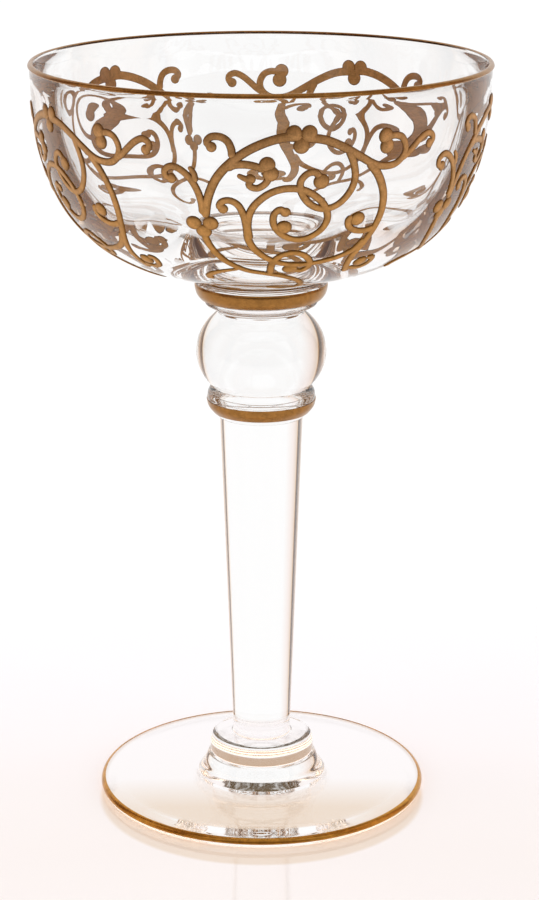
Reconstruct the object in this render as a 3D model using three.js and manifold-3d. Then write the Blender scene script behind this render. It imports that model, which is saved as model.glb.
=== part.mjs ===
// Sherbet glass: a footed crystal coupe with fired gilding on its bowl, stem and foot.
// Millimetres, +Z up. The origin is on the table, under the centre of the foot.
import * as THREE from 'three';
import { mergeVertices } from 'three/addons/utils/BufferGeometryUtils.js';
import Module from 'manifold-3d';

const wasm = await Module();
wasm.setup();

// Foot
const FOOT_RADIUS = 38.8;
const FOOT_THICKNESS = 3.57;
const FOOT_EDGE_HEIGHT = 2.3;
const FOOT_SHELF_RADIUS = 33.5;
const FOOT_SHELF_HEIGHT = 2.9;
const FOOT_BEVEL = 0.8;
const FOOT_BAND_WIDTH = 1.0;
const FOOT_BAND_HEIGHT = 1.15;

// Two steps between the foot and the shaft
const LOWER_STEP_RADIUS = 15.34;
const LOWER_STEP_HEIGHT = 4.8;
const LOWER_STEP_KNEE_RADIUS = 13.8;
const LOWER_STEP_KNEE_HEIGHT = 2.1;
const LOWER_STEP_SHOULDER_RADIUS = 13.1;
const LOWER_STEP_SHOULDER_HEIGHT = 3.7;
const UPPER_STEP_RADIUS = 12.38;
const UPPER_STEP_HEIGHT = 4.92;
const UPPER_STEP_UNDERCUT = 0.23;
const UPPER_STEP_WIDEST_HEIGHT = 1.2;
const UPPER_STEP_SHOULDER = 2.0;

// Shaft, ring and ball of the stem
const SHAFT_FOOT_RADIUS = 6.74;
const SHAFT_TOP_RADIUS = 9.7;
const SHAFT_LENGTH = 79.25;
const SHAFT_COVE_WIDTH = 0.5;
const SHAFT_COVE_HEIGHT = 1.0;
const RING_RADIUS = 12.6;
const RING_HEIGHT = 7.12;
const RING_LIP_DROP = 2.96;
const RING_BAND_FOOT = 1.4;
const RING_BAND_INSET = 1.3;
const BALL_RADIUS = 15.1;
const BALL_HEIGHT = 17.64;
const BALL_FOOT_RADIUS = 11.15;
const BALL_TOP_RADIUS = 10.0;

// Collar under the bowl
const COLLAR_RADIUS = 15.2;
const COLLAR_HEIGHT = 7.0;
const COLLAR_LIP_RADIUS = 12.9;
const COLLAR_LIP_HEIGHT = 2.7;
const COLLAR_BAND_RISE = 1.0;
const COLLAR_BAND_INSET = 0.95;
const COLLAR_EDGE_ROUND = 0.6;
const COLLAR_EDGE_FALL = 0.15;

// Bowl
const RIM_RADIUS = 52.0;
const RIM_FLARE = 0.22;
const RIM_FLARE_DROP = 3.0;
const BOWL_HEIGHT = 50.7;
const BOWL_NECK_RADIUS = 14.2;
const BOWL_NECK_HEIGHT = 1.86;
const BOWL_COVE_WIDTH = 4.4;
const BOWL_COVE_FOOT = 0.6;
const BOWL_CURVE_RISE = 4.39;
const BOWL_CURVE_POWER = 2.861;
const WALL_THICKNESS = 1.9;
const FLOOR_THICKNESS = 6.5;
const RIM_BAND_DROP = 0.3;
const RIM_BAND_HEIGHT = 1.0;

// Gilding and the small gap that keeps it clear of the curved glass
const GILT_THICKNESS = 0.4;
const GILT_GAP = 0.3;
const SCROLL_THICKNESS = 0.6;
const SCROLL_REPEATS = 5;
const SCROLL_TURN = 0.013;
const SCROLL_WALL_FOOT_RADIUS = 13.2;
const VINE_WIDTH = 2.0;
const BRANCH_WIDTH = 1.75;
const CURL_WIDTH = 1.6;
const TIP_WIDTH = 1.0;
const BERRY_RADIUS = 1.75;
const BUD_RADIUS = 1.15;
const BUD_TIP_SHARE = 0.5;

// Facets round each turned piece, and steps along each curve
const TURNED_SIDES = 40;
const STEM_SIDES = 30;
const BERRY_SIDES = 7;
const ROUND_STEPS = 2;
const BALL_STEPS = 10;
const BOWL_OUTSIDE_STEPS = 13;
const BOWL_INSIDE_STEPS = 10;
const WALL_SAMPLES = 200;

// Levels of the stack, each piece standing on the one below
const footTop = FOOT_THICKNESS;
const lowerStepTop = footTop + LOWER_STEP_HEIGHT;
const upperStepTop = lowerStepTop + UPPER_STEP_HEIGHT;
const shaftTop = upperStepTop + SHAFT_LENGTH;
const ringTop = shaftTop + RING_HEIGHT;
const ballTop = ringTop + BALL_HEIGHT;
const collarTop = ballTop + COLLAR_HEIGHT;
const rimTop = collarTop + BOWL_HEIGHT;

const crystal = new THREE.MeshStandardMaterial({
  color: 0xf6f1ec, roughness: 0.03, metalness: 0, transparent: true, opacity: 0.35,
});
const gilt = new THREE.MeshStandardMaterial({ color: 0x96703e, roughness: 0.45, metalness: 0.9 });

const glass = new THREE.Group();

function addPiece(name, geometry, material) {
  const piece = new THREE.Mesh(geometry, material);
  piece.name = name;
  glass.add(piece);
}

// Turns a profile of [radius, height] points, listed up the outside, into a solid round Z
function turned(profile, sides) {
  const points = profile.map(([radius, height]) => new THREE.Vector2(radius, height));
  return new THREE.LatheGeometry(points, sides).rotateX(Math.PI / 2);
}

// A quarter round between two profile points, level at the first and upright at the second
function quarter([startRadius, startHeight], [endRadius, endHeight]) {
  const points = [];
  for (let i = 0; i <= ROUND_STEPS; i += 1) {
    const angle = (Math.PI / 2) * (i / ROUND_STEPS);
    points.push([
      startRadius + (endRadius - startRadius) * Math.sin(angle),
      startHeight + (endHeight - startHeight) * (1 - Math.cos(angle)),
    ]);
  }
  return points;
}

// Moves an open profile towards the axis side by a distance, mitred at its corners
function inset(profile, distance) {
  const last = profile.length - 2;
  const normals = profile.slice(1).map((after, i) => unitNormal(profile[i], after));
  return profile.map(([radius, height], i) => {
    const first = normals[Math.max(i - 1, 0)];
    const second = normals[Math.min(i, last)];
    const mitre = 1 + first[0] * second[0] + first[1] * second[1];
    const shift = distance / mitre;
    return [radius - (first[0] + second[0]) * shift, height - (first[1] + second[1]) * shift];
  });
}

// Outward unit normal of a step up the outside of a profile
function unitNormal([r0, z0], [r1, z1]) {
  const length = Math.hypot(r1 - r0, z1 - z0);
  return [(z1 - z0) / length, (r0 - r1) / length];
}

// A gilt band: a thin skin whose outside is the profile given
function band(profile, sides) {
  const skin = [...profile, ...inset(profile, GILT_THICKNESS).reverse(), profile[0]];
  return turned(skin, sides);
}

// Glass behind a gilt band, set back by the gilding and its gap
function behind(profile) {
  return inset(profile, GILT_THICKNESS + GILT_GAP);
}

// Foot: a broad disc, faintly conical on top and falling a little faster towards its gilt edge
function footTopAt(radius) {
  const fall = (FOOT_SHELF_HEIGHT - FOOT_EDGE_HEIGHT) / (FOOT_RADIUS - FOOT_SHELF_RADIUS);
  return FOOT_SHELF_HEIGHT - (radius - FOOT_SHELF_RADIUS) * fall;
}

function addFoot() {
  const bandFoot = FOOT_EDGE_HEIGHT - FOOT_BAND_HEIGHT;
  const bandInner = FOOT_RADIUS - FOOT_BAND_WIDTH;
  const edge = [[FOOT_RADIUS, bandFoot], [FOOT_RADIUS, FOOT_EDGE_HEIGHT], [bandInner, footTopAt(bandInner)]];
  const seat = bandInner - GILT_GAP;
  const [edgeFoot, edgeTop] = behind(edge);
  addPiece('foot', turned([
    [0, 0],
    [FOOT_RADIUS - FOOT_BEVEL, 0],
    [FOOT_RADIUS, bandFoot - GILT_GAP],
    [edgeFoot[0], bandFoot - GILT_GAP],
    edgeTop,
    [seat, edgeTop[1]],
    [seat, footTopAt(seat)],
    [FOOT_SHELF_RADIUS, FOOT_SHELF_HEIGHT],
    [LOWER_STEP_RADIUS, footTop],
    [0, footTop],
  ], TURNED_SIDES), crystal);
  addPiece('foot_gilding', band(edge, TURNED_SIDES), gilt);
}

// Steps: a low bell and a rounded drum of glass worked onto the foot
function addSteps() {
  const joint = [UPPER_STEP_RADIUS - UPPER_STEP_UNDERCUT, lowerStepTop];
  addPiece('lower_base_step', turned([
    [0, footTop],
    [LOWER_STEP_RADIUS, footTop],
    [LOWER_STEP_KNEE_RADIUS, footTop + LOWER_STEP_KNEE_HEIGHT],
    [LOWER_STEP_SHOULDER_RADIUS, footTop + LOWER_STEP_SHOULDER_HEIGHT],
    joint,
    [0, lowerStepTop],
  ], STEM_SIDES), crystal);
  const flatTop = [UPPER_STEP_RADIUS - UPPER_STEP_SHOULDER, upperStepTop];
  const shoulderFoot = [UPPER_STEP_RADIUS, upperStepTop - UPPER_STEP_SHOULDER];
  addPiece('upper_base_step', turned([
    [0, lowerStepTop],
    joint,
    [UPPER_STEP_RADIUS, lowerStepTop + UPPER_STEP_WIDEST_HEIGHT],
    ...quarter(flatTop, shoulderFoot).reverse(),
    [0, upperStepTop],
  ], STEM_SIDES), crystal);
}

// Shaft: a plain drawn taper, widest under the ring, with a small cove where it stands on the steps
function addShaft() {
  addPiece('stem_shaft', turned([
    [0, upperStepTop],
    [SHAFT_FOOT_RADIUS + SHAFT_COVE_WIDTH, upperStepTop],
    [SHAFT_FOOT_RADIUS, upperStepTop + SHAFT_COVE_HEIGHT],
    [SHAFT_TOP_RADIUS, shaftTop],
    [0, shaftTop],
  ], STEM_SIDES), crystal);
}

// Ring: a small knop whose underside is gilt
function addRing() {
  const bandTop = ringTop - RING_LIP_DROP;
  const bandFoot = [RING_RADIUS - RING_BAND_INSET, shaftTop + RING_BAND_FOOT];
  const underside = quarter(bandFoot, [RING_RADIUS, bandTop]);
  addPiece('stem_ring', turned([
    [0, shaftTop],
    [SHAFT_TOP_RADIUS, shaftTop],
    ...behind(underside),
    [RING_RADIUS - GILT_THICKNESS - GILT_GAP, bandTop + GILT_GAP],
    [RING_RADIUS, bandTop + GILT_GAP],
    [BALL_FOOT_RADIUS, ringTop],
    [0, ringTop],
  ], STEM_SIDES), crystal);
  addPiece('ring_gilding', band(underside, STEM_SIDES), gilt);
}

// Ball: a flattened sphere between the two faces where it joins the ring and the collar
function addBall() {
  const low = -Math.acos(BALL_FOOT_RADIUS / BALL_RADIUS);
  const high = Math.acos(BALL_TOP_RADIUS / BALL_RADIUS);
  const halfHeight = BALL_HEIGHT / (Math.sin(high) - Math.sin(low));
  const centre = ringTop - halfHeight * Math.sin(low);
  const profile = [[0, ringTop]];
  for (let i = 0; i <= BALL_STEPS; i += 1) {
    const angle = low + ((high - low) * i) / BALL_STEPS;
    profile.push([BALL_RADIUS * Math.cos(angle), centre + halfHeight * Math.sin(angle)]);
  }
  profile.push([0, ballTop]);
  addPiece('ball_knop', turned(profile, STEM_SIDES), crystal);
}

// Collar: a flared disc with a gilt edge, on which the bowl is set
function addCollar() {
  const lip = [COLLAR_LIP_RADIUS, ballTop + COLLAR_LIP_HEIGHT];
  const bandFoot = [COLLAR_RADIUS - COLLAR_BAND_INSET, lip[1] + COLLAR_BAND_RISE];
  const edge = [
    ...quarter(bandFoot, [COLLAR_RADIUS, collarTop - COLLAR_EDGE_ROUND]),
    [COLLAR_RADIUS - COLLAR_EDGE_ROUND, collarTop - COLLAR_EDGE_FALL],
  ];
  addPiece('upper_collar', turned([
    [0, ballTop],
    ...quarter(lip, [BALL_TOP_RADIUS, ballTop]).reverse(),
    ...behind(edge),
    [BOWL_NECK_RADIUS, collarTop],
    [0, collarTop],
  ], STEM_SIDES), crystal);
  addPiece('collar_gilding', band(edge, STEM_SIDES), gilt);
}

// Bowl: a thick-bottomed cup whose outside and inside are both rounded-square curves
const bowlFoot = collarTop + BOWL_NECK_HEIGHT;
const bowlFloor = bowlFoot + FLOOR_THICKNESS;
const curveTop = rimTop + BOWL_CURVE_RISE;
const wallRadius = RIM_RADIUS - RIM_FLARE;

function curveRadius(radius, lowest, height) {
  const drop = Math.min((curveTop - height) / (curveTop - lowest), 1);
  return radius * (1 - drop ** BOWL_CURVE_POWER) ** (1 / BOWL_CURVE_POWER);
}

function flareAt(height) {
  const above = Math.max(1 - (rimTop - height) / RIM_FLARE_DROP, 0);
  return RIM_FLARE * above * above;
}

// Height at which one of the bowl's curves reaches a radius
function curveHeight(radius, lowest, reach) {
  const share = (1 - (reach / radius) ** BOWL_CURVE_POWER) ** (1 / BOWL_CURVE_POWER);
  return curveTop - share * (curveTop - lowest);
}

// Points along one of the bowl's curves from a radius up to a height, close together where it bends
function curvePoints(radius, lowest, fromRadius, toHeight, count) {
  const start = Math.asin(Math.min(fromRadius / radius, 1));
  const points = [];
  for (let i = 0; i <= count; i += 1) {
    const turn = start + (Math.PI / 2 - start) * (i / count);
    const reach = radius * Math.sin(turn);
    const height = Math.min(curveHeight(radius, lowest, reach), toHeight);
    points.push([curveRadius(radius, lowest, height) + flareAt(height), height]);
  }
  return points.filter(([, height], i) => i === 0 || height > points[i - 1][1]);
}

function addBowl() {
  const lipOuter = RIM_RADIUS - GILT_THICKNESS - GILT_GAP;
  const bandTop = rimTop - RIM_BAND_DROP;
  const bandFoot = bandTop - RIM_BAND_HEIGHT;
  const innerRadius = wallRadius - WALL_THICKNESS;
  const outsideTop = bandFoot - GILT_GAP;
  const coveRadius = BOWL_NECK_RADIUS + BOWL_COVE_WIDTH;
  const outside = curvePoints(wallRadius, bowlFoot, coveRadius, outsideTop, BOWL_OUTSIDE_STEPS);
  const inside = curvePoints(innerRadius, bowlFloor, 0, rimTop, BOWL_INSIDE_STEPS);
  addPiece('bowl', turned([
    [0, collarTop],
    [BOWL_NECK_RADIUS, collarTop],
    ...quarter(outside[0], [BOWL_NECK_RADIUS, collarTop + BOWL_COVE_FOOT]).reverse(),
    ...outside.slice(1),
    [lipOuter, outsideTop],
    [lipOuter, rimTop],
    ...inside.reverse(),
  ], TURNED_SIDES), crystal);
  addPiece('rim_gilding', band([[RIM_RADIUS, bandFoot], [RIM_RADIUS, bandTop]], TURNED_SIDES), gilt);
}

// The bowl's outside as a wall that the scroll is drawn on, from low on the bowl up to the rim
const wall = curvePoints(wallRadius, bowlFoot, SCROLL_WALL_FOOT_RADIUS, rimTop, WALL_SAMPLES);
const wallLength = wall.reduce((sum, point, i) => (i === 0 ? 0 : sum + gapTo(point, wall[i - 1])), 0);

function gapTo([r0, z0], [r1, z1]) {
  return Math.hypot(r1 - r0, z1 - z0);
}

// Radius, height and outward normal at a distance up the wall
function wallAt(distance) {
  let left = Math.max(distance, 0);
  let i = 1;
  while (i < wall.length - 1 && left > gapTo(wall[i], wall[i - 1])) {
    left -= gapTo(wall[i], wall[i - 1]);
    i += 1;
  }
  const share = Math.min(left / gapTo(wall[i], wall[i - 1]), 1);
  const radius = wall[i - 1][0] + (wall[i][0] - wall[i - 1][0]) * share;
  const height = wall[i - 1][1] + (wall[i][1] - wall[i - 1][1]) * share;
  return { radius, height, normal: unitNormal(wall[i - 1], wall[i]) };
}

// One repeat of the scroll, drawn by hand: across in hundredths of a repeat, up in hundredths of
// the wall. Each stroke is a centre line with the width at its start and at its end, and some
// strokes end in a bud.
const strokes = [
  // The arch from the lower trefoil over to the curl on its right
  [VINE_WIDTH, VINE_WIDTH, [
    [-20.5, 61.4], [-18.9, 67.9], [-15.8, 74.2], [-11.3, 79], [-5.5, 83], [1, 85.8], [7.3, 87.2],
    [12.3, 87],
  ]],
  [VINE_WIDTH, CURL_WIDTH, [
    [12.3, 87], [19.5, 86.2], [26, 83.8], [32.5, 80.4], [37.8, 77.7], [42.1, 76.8], [46.1, 77.2],
    [48.9, 79.2], [49.7, 82], [48.2, 84.9], [45.4, 86], [42.7, 85.7],
  ]],
  // The tail that runs on to the right
  [CURL_WIDTH, CURL_WIDTH, [
    [48.3, 78.4], [51, 80.1], [53.3, 82], [56.2, 84.2], [59.2, 85.4], [61.5, 84.5], [61.6, 82.9],
    [60.4, 82.1],
  ], 'bud'],
  // Curls left of the arch, the lower one with a leaf
  [BRANCH_WIDTH, CURL_WIDTH, [
    [-10.1, 80.8], [-10.3, 83.5], [-11.5, 86], [-13.9, 87.3], [-16.8, 87.2], [-18.3, 85.6],
    [-16.8, 84.2],
  ], 'bud'],
  [BRANCH_WIDTH, CURL_WIDTH, [
    [-21.2, 62.4], [-21.2, 66.1], [-22.1, 70], [-24.2, 73.8], [-27.3, 76.6], [-30.5, 77.7],
    [-33.1, 76.5], [-33.1, 74.6], [-31.1, 73.9],
  ], 'bud'],
  [BRANCH_WIDTH, TIP_WIDTH, [[-22.9, 73], [-23, 75.9], [-24.7, 77.9]]],
  // Branch inside the arch, with its hanging curl and leaf
  [VINE_WIDTH, CURL_WIDTH, [[-12.5, 77.6], [-9.5, 78.9], [-5.6, 79], [-1.6, 78.2], [0.6, 77]]],
  [CURL_WIDTH, CURL_WIDTH, [[1.6, 77], [1.2, 73.8], [-1.8, 71.7], [-4.6, 72.4], [-4.3, 74.5]], 'bud'],
  [CURL_WIDTH, TIP_WIDTH, [[-4.6, 74.2], [-6.6, 74.9], [-8.6, 75.8]]],
  // Small curl left of the inner spiral
  [BRANCH_WIDTH, CURL_WIDTH, [
    [-5.2, 53.5], [-5.9, 57.8], [-6.7, 62.2], [-8.5, 65.9], [-11.3, 67.5], [-14, 67.1],
    [-15.1, 65.5], [-13.9, 64.7],
  ], 'bud'],
  // The inner spiral
  [BRANCH_WIDTH, CURL_WIDTH, [
    [-5, 53.5], [-5.6, 58.6], [-4.7, 63.3], [-2.2, 66.9], [2.2, 70], [7.4, 71.4], [13.2, 70.9],
    [18.2, 68.3], [21.6, 64.7], [22.8, 60.4], [20.8, 56.5], [16.2, 53.8], [11.2, 53.5], [6.6, 55.6],
    [3.8, 59], [3.6, 62.6], [5.6, 64.6], [7.6, 63.6],
  ], 'bud'],
  // The leg under the spiral, swept to the right until it meets the outer branch
  [BRANCH_WIDTH, BRANCH_WIDTH, [
    [-5.9, 58.6], [-5.5, 53.5], [-2.9, 48.9], [2.2, 44.8], [9.1, 42.1], [16.9, 41.5], [24.5, 42.4],
    [31.5, 44.3], [37, 47.3], [40.2, 51.8],
  ]],
  // Branch from the arch's right side down and round into the small upper spiral
  [BRANCH_WIDTH, CURL_WIDTH, [
    [28, 82.9], [30.3, 78.2], [31.1, 73.4], [29.4, 69], [25.8, 65.5], [21, 64.3], [16.3, 65.9],
    [13.1, 69.4], [12.2, 73.2], [14.2, 75.8], [17, 76.3], [19, 74.4],
  ]],
  // Outer branch down the right side, with a side curl and a low curl
  [VINE_WIDTH, BRANCH_WIDTH, [
    [35.5, 78.7], [39.9, 74], [43, 67.9], [43.8, 61.7], [42.7, 55.8], [40.4, 49.8], [38.4, 44.2],
    [38.6, 39.2], [40.8, 34.2],
  ]],
  [BRANCH_WIDTH, CURL_WIDTH, [
    [42.4, 56.2], [39.3, 55.2], [35.4, 55.4], [32.1, 57], [30.9, 59.6], [32.1, 61.1],
  ]],
  [CURL_WIDTH, CURL_WIDTH, [
    [40.6, 37.4], [45.9, 36.2], [49.4, 37.4], [50.7, 39.8], [50, 41.9], [47.1, 41.8],
  ]],
  // Vine from the lower trefoil under the bowl, hooked at its end, with a leaf to the left
  [BRANCH_WIDTH, CURL_WIDTH, [
    [-22.1, 56.9], [-21.1, 52.2], [-18.4, 46.8], [-13.9, 42.2], [-7, 38.3], [1.4, 36.2],
    [9.5, 33.9], [16.8, 30.3], [21.8, 25.4], [21.9, 20.4], [17.4, 17.4], [11, 17.6], [5.5, 20],
  ], 'bud'],
  [TIP_WIDTH, VINE_WIDTH, [[-10.8, 39.1], [-16.5, 37.8], [-21.6, 36.3], [-26.2, 33.6], [-26, 30.5]]],
  // Oval curl low on the vine
  [BRANCH_WIDTH, CURL_WIDTH, [
    [3.5, 36], [3.4, 40.5], [4.5, 43.9], [7.4, 46.5], [11.4, 47.6], [15.8, 46.6], [19.3, 43.5],
    [19.9, 40.1], [17.4, 37.7], [13.5, 38.2],
  ]],
];

// Berries: three at each trefoil, two at the branch's end, and one at the end of each larger curl
const berries = [
  [9.7, 88.4], [14.7, 88.3], [12.2, 84.6],
  [-25, 59.3], [-18.8, 59.4], [-21.7, 56.4], [1.2, 79], [2.3, 76.2],
  [42.1, 83], [41.4, 86.1], [7.3, 58.2], [19.3, 73.4], [34.5, 59.9], [44.9, 40.1], [11.9, 39],
];

// The scroll is drawn flat, as if the wall were unrolled at the rim's radius
const repeatWidth = (2 * Math.PI * RIM_RADIUS) / SCROLL_REPEATS;

function onFlat([across, up]) {
  return new THREE.Vector2((across / 100) * repeatWidth, (up / 100) * wallLength);
}

// How much a length across the flat drawing shrinks where the bowl is narrower
function narrowing(flat) {
  return wallAt(flat.y).radius / RIM_RADIUS;
}

// A closed geometry as a solid that can be joined to others
function solid(geometry) {
  geometry.deleteAttribute('normal');
  geometry.deleteAttribute('uv');
  const closed = mergeVertices(geometry);
  return new wasm.Manifold(new wasm.Mesh({
    numProp: 3,
    vertProperties: closed.attributes.position.array,
    triVerts: new Uint32Array(closed.index.array),
  }));
}

// A flat plate between two edges, in short steps so that it can be bent without cutting corners
function strip(right, left) {
  const positions = [];
  right.forEach((point, i) => {
    positions.push(point.x, point.y, 0, left[i].x, left[i].y, 0);
    positions.push(left[i].x, left[i].y, SCROLL_THICKNESS, point.x, point.y, SCROLL_THICKNESS);
  });
  const faces = [];
  for (let i = 0; i < right.length - 1; i += 1) {
    for (let side = 0; side < 4; side += 1) {
      const near = [4 * i + side, 4 * i + ((side + 1) % 4)];
      faces.push(near[0], near[1], near[1] + 4, near[0], near[1] + 4, near[0] + 4);
    }
  }
  const end = 4 * (right.length - 1);
  faces.push(0, 2, 1, 0, 3, 2, end, end + 1, end + 2, end, end + 2, end + 3);
  const geometry = new THREE.BufferGeometry();
  geometry.setAttribute('position', new THREE.Float32BufferAttribute(positions, 3));
  geometry.setIndex(faces);
  return solid(geometry);
}

// A stroke: its outline keeps its true width on the bowl, whatever its direction
function strokePlate([startWidth, endWidth, centreLine, ending]) {
  const line = centreLine.map(onFlat);
  const last = line.length - 1;
  const right = [];
  const left = [];
  line.forEach((point, i) => {
    const before = line[Math.max(i - 1, 0)];
    const after = line[Math.min(i + 1, last)];
    const shrink = narrowing(point);
    const along = new THREE.Vector2((after.x - before.x) * shrink, after.y - before.y).normalize();
    const taper = startWidth + ((endWidth - startWidth) * i) / last;
    const half = i === last && ending === 'bud' ? BUD_RADIUS : taper / 2;
    const side = new THREE.Vector2((along.y * half) / shrink, -along.x * half);
    right.push(point.clone().add(side));
    left.push(point.clone().sub(side));
    if (i === last && ending === 'bud') {
      const tip = point.clone().add(new THREE.Vector2((along.x * half) / shrink, along.y * half));
      right.push(tip.clone().addScaledVector(side, BUD_TIP_SHARE));
      left.push(tip.clone().addScaledVector(side, -BUD_TIP_SHARE));
    }
  });
  return strip(right, left);
}

function berryPlate(place) {
  const centre = onFlat(place);
  const shrink = narrowing(centre);
  const outline = [];
  for (let i = 0; i < BERRY_SIDES; i += 1) {
    const angle = (2 * Math.PI * i) / BERRY_SIDES;
    const offset = new THREE.Vector2(Math.cos(angle) / shrink, Math.sin(angle));
    outline.push(centre.clone().addScaledVector(offset, BERRY_RADIUS));
  }
  const shape = new THREE.Shape(outline);
  return solid(new THREE.ExtrudeGeometry(shape, { depth: SCROLL_THICKNESS, bevelEnabled: false }));
}

// Lays the joined flat drawing on the bowl, clear of the glass, with its repeat turned into place
function layOnBowl(flatMesh, turn) {
  const positions = [];
  for (let i = 0; i < flatMesh.numVert; i += 1) {
    const [across, up, lift] = flatMesh.vertProperties.slice(i * flatMesh.numProp, i * flatMesh.numProp + 3);
    const { radius, height, normal } = wallAt(up);
    const out = radius + normal[0] * (GILT_GAP + lift);
    const angle = across / RIM_RADIUS + turn;
    positions.push(out * Math.sin(angle), -out * Math.cos(angle), height + normal[1] * (GILT_GAP + lift));
  }
  const geometry = new THREE.BufferGeometry();
  geometry.setAttribute('position', new THREE.Float32BufferAttribute(positions, 3));
  geometry.setIndex([...flatMesh.triVerts]);
  geometry.computeVertexNormals();
  return geometry;
}

function addScrolls() {
  const plates = [...strokes.map(strokePlate), ...berries.map(berryPlate)];
  const drawing = plates.reduce((joined, next) => joined.add(next));
  const flatMesh = drawing.getMesh();
  for (let i = 0; i < SCROLL_REPEATS; i += 1) {
    const turn = (2 * Math.PI * i) / SCROLL_REPEATS + SCROLL_TURN;
    addPiece(`scroll_${i + 1}`, layOnBowl(flatMesh, turn), gilt);
  }
}

addFoot();
addSteps();
addShaft();
addRing();
addBall();
addCollar();
addBowl();
addScrolls();

export default glass;
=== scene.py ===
"""A sherbet glass of clear crystal with fired gilding, standing on a pale table. Metres, +Z up."""

import math

import bpy
import numpy as np
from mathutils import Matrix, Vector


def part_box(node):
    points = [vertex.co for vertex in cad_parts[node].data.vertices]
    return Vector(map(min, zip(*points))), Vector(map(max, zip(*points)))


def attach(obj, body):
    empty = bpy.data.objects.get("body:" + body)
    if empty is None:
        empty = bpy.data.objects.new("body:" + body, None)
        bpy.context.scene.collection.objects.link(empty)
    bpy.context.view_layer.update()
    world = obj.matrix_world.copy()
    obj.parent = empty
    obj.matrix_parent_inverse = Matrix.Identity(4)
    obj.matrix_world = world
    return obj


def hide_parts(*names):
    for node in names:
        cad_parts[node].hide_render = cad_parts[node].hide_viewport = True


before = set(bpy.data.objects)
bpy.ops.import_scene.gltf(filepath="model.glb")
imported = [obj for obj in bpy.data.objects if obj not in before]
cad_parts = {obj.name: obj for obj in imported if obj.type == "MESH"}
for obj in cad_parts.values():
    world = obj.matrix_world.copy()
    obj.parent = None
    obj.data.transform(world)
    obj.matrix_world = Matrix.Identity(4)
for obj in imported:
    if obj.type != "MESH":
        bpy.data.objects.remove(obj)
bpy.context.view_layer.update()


# Foot
# The real one is a flat disc of clear crystal, spun out hot and then ground flat underneath.
# It is thickest under the stem, thins towards its edge, and its edge is fire-polished round.
MM = 0.001
STEPS_ROUND = 192
SHARP_ANGLE = math.radians(40)
CRYSTAL_IOR = 1.545
WHITE = (1, 1, 1, 1)
foot_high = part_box("foot")[1]
FOOT_RADIUS = foot_high.x
FOOT_TOP = foot_high.z
FOOT_EDGE_TOP = 2.3 * MM
FOOT_EDGE_ROUND = 1.1 * MM
LOWER_STEP_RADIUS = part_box("lower_base_step")[1].x


def linear(hex_colour):
    """An sRGB hex colour as linear RGBA."""
    shares = [int(hex_colour[i : i + 2], 16) / 255 for i in (1, 3, 5)]
    return (*[s / 12.92 if s <= 0.04045 else ((s + 0.055) / 1.055) ** 2.4 for s in shares], 1.0)


def node(tree, kind, inputs=None, stops=(), **settings):
    """Adds a node, sets its settings and its colour stops, and sets or links its inputs."""
    made = tree.nodes.new(kind)
    for index, (place, hex_colour) in enumerate(stops):
        if index > 1:
            made.color_ramp.elements.new(place)
        made.color_ramp.elements[index].position = place
        made.color_ramp.elements[index].color = linear(hex_colour)
    for name, value in settings.items():
        setattr(made, name, value)
    for name, value in (inputs or {}).items():
        if isinstance(value, bpy.types.NodeSocket):
            tree.links.new(value, made.inputs[name])
        else:
            made.inputs[name].default_value = value
    return made


def new_material(name):
    """An empty material with its output node, whose surface is linked by the caller."""
    material = bpy.data.materials.new(name)
    material.use_nodes = True
    material.node_tree.nodes.clear()
    return material, material.node_tree, node(material.node_tree, "ShaderNodeOutputMaterial")


def crystal_material():
    """Lead crystal, fire-polished: clear, very smooth, and bending light more than window glass."""
    material, tree, output = new_material("lead_crystal")
    glass = node(tree, "ShaderNodeBsdfPrincipled", {
        "Base Color": linear("#ffffff"),
        "Roughness": 0.0,
        "IOR": CRYSTAL_IOR,
        "Transmission Weight": 1.0,
    })
    tree.links.new(glass.outputs["BSDF"], output.inputs["Surface"])
    return material


def fused_material():
    """Where two gathers of glass are fused there is no surface, so light passes straight on."""
    material, tree, output = new_material("fused_joint")
    clear = node(tree, "ShaderNodeBsdfTransparent", {"Color": WHITE})
    tree.links.new(clear.outputs["BSDF"], output.inputs["Surface"])
    return material


def arc(centre, radius, start, end, steps=10):
    """Profile points round a quarter or other arc. Angles in degrees from +R towards +Z."""
    angles = np.radians(np.linspace(start, end, steps + 1))
    return [(centre[0] + radius * math.cos(a), centre[1] + radius * math.sin(a)) for a in angles]


def smooth_curve(points, steps=8):
    """A smooth curve through given points, as more points."""
    ends = [2 * np.array(points[0]) - points[1], 2 * np.array(points[-1]) - points[-2]]
    knots = np.array([ends[0], *points, ends[1]], float)
    share = np.linspace(0, 1, steps, endpoint=False)[:, None]
    parts = []
    for before, here, after, beyond in zip(knots, knots[1:], knots[2:], knots[3:]):
        bend = 2 * before - 5 * here + 4 * after - beyond
        twist = 3 * (here - after) + beyond - before
        parts.append(here + 0.5 * share * ((after - before) + share * (bend + share * twist)))
    return [tuple(p) for p in np.vstack([*parts, knots[-2:-1]])]


def mesh_piece(name, points, faces, materials, face_slots=None):
    """A smooth-shaded mesh object with its materials, keeping edges sharper than SHARP_ANGLE.
    Fused faces stay flat, so that they don't bend the shading beside them."""
    mesh = bpy.data.meshes.new(name)
    mesh.from_pydata([tuple(p) for p in points], [], faces)
    for material in materials:
        mesh.materials.append(material)
    face_slots = face_slots or [0] * len(faces)
    mesh.polygons.foreach_set("material_index", face_slots)
    mesh.polygons.foreach_set("use_smooth", [slot == 0 for slot in face_slots])
    mesh.set_sharp_from_angle(angle=SHARP_ANGLE)
    mesh.update()
    piece = bpy.data.objects.new(name, mesh)
    bpy.context.scene.collection.objects.link(piece)
    return piece


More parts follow.
